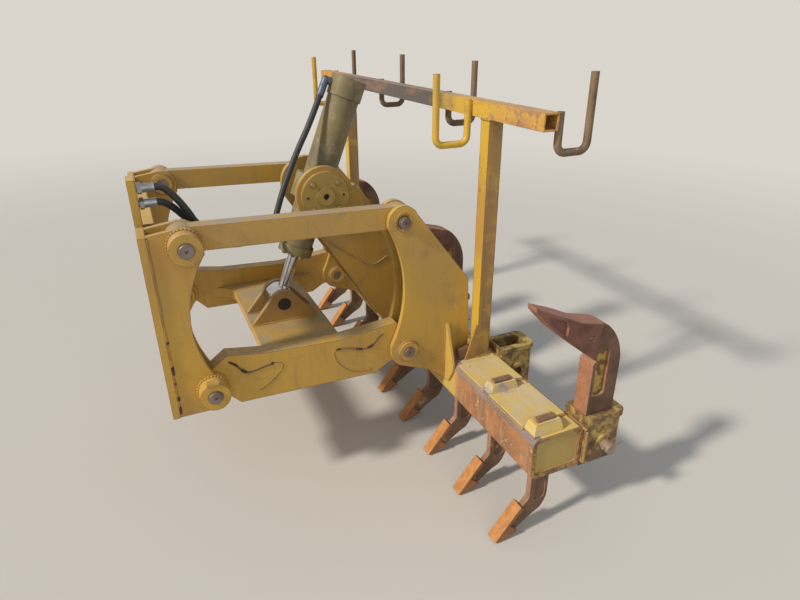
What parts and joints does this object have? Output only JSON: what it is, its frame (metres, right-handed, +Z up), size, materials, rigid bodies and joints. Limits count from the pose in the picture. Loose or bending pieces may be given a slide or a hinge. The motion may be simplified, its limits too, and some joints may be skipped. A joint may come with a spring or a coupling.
{
  "type": "rear-mounted ripper-scarifier",
  "caption": "Rear ripper-scarifier: bolted hitch, parallel linkage, one lift cylinder and a tool beam with scarifier shanks, ripper pockets with stored shanks and a stake rack.",
  "frame": {"origin": "centre of the hitch's mounting face, in the middle of its bolts", "axes": "+X to the rear, away from the machine; +Y to the machine's right; +Z up"},
  "size_m": [1.4686, 2.5783, 1.5714],
  "materials": {
    "yellow_paint": "worn satin",
    "rusty_paint": "rusty, worn",
    "faded_paint": "faded",
    "rusty_steel": "rusty",
    "bare_steel": "dull",
    "plated_steel": "satin",
    "chrome": "polished",
    "hose_rubber": "matt"
  },
  "bodies": {
    "hitch": {"hitch_flanges": "yellow_paint", "hitch_plates": "yellow_paint", "hitch_pins": "bare_steel", "hose_bracket": "yellow_paint", "hose_fittings": "plated_steel", "hose_a_front": "hose_rubber", "hose_b_front": "hose_rubber"},
    "upper_link_left": {"upper_link_left": "yellow_paint"},
    "upper_link_right": {"upper_link_right": "yellow_paint"},
    "lower_link": {"lower_link": "yellow_paint", "rod_clevis": "yellow_paint", "clevis_pin_ends": "bare_steel"},
    "carriage": {"carriage_plates": "yellow_paint", "carriage_pins": "bare_steel", "trunnion_bracket": "yellow_paint", "trunnion_caps": "yellow_paint", "beam_gussets": "yellow_paint", "tool_beam": "rusty_paint", "beam_end_caps": "yellow_paint", "ripper_pockets": "rusty_paint", "ripper_shanks": "rusty_steel", "ripper_tips": "rusty_steel", "pocket_pins": "bare_steel", "scarifier_shanks": "rusty_steel", "scarifier_teeth": "rusty_steel", "rack_posts": "yellow_paint", "rack_tube": "rusty_paint", "rear_hooks": "rusty_steel", "front_hooks": "yellow_paint"},
    "barrel": {"cylinder_barrel": "faded_paint", "cylinder_gland": "faded_paint", "trunnion_ring": "faded_paint", "hose_ports": "plated_steel", "hose_a_rear": "hose_rubber", "hose_b_rear": "hose_rubber"},
    "rod": {"cylinder_rod": "chrome"}
  },
  "joints": [
    {"name": "lift", "type": "hinge", "parent": "hitch", "child": "upper_link_left", "pos_m": [0.132, 0, 0.29], "axis": [0, -1, 0], "range_deg": [-20, 35]},
    {"name": "upper_right_pivot", "type": "hinge", "parent": "hitch", "child": "upper_link_right", "pos_m": [0.132, 0, 0.29], "axis": [0, -1, 0], "range_deg": [-20, 35]},
    {"name": "lower_pivot", "type": "hinge", "parent": "hitch", "child": "lower_link", "pos_m": [0.148, 0, -0.25], "axis": [0, -1, 0], "range_deg": [-20, 35]},
    {"name": "carriage_pivot", "type": "hinge", "parent": "upper_link_left", "child": "carriage", "pos_m": [0.89159, 0, 0.265], "axis": [0, -1, 0], "range_deg": [-35, 20]},
    {"name": "trunnion_pivot", "type": "hinge", "parent": "carriage", "child": "barrel", "pos_m": [0.709, 0, 0.298], "axis": [0, -1, 0], "range_deg": [-3.5, 6]},
    {"name": "rod_slide", "type": "slide", "parent": "barrel", "child": "rod", "axis": [-0.3765, 0, -0.9264], "range_m": [-0.1365, 0.2385]}
  ],
  "couplings": [
    {"joint": "upper_right_pivot", "follows": "lift", "ratio": 1},
    {"joint": "lower_pivot", "follows": "lift", "ratio": 1},
    {"joint": "carriage_pivot", "follows": "lift", "ratio": -1},
    {"joint": "trunnion_pivot", "follows": "lift", "ratio": 0.17},
    {"joint": "rod_slide", "follows": "lift", "m_per_rad": 0.39}
  ]
}
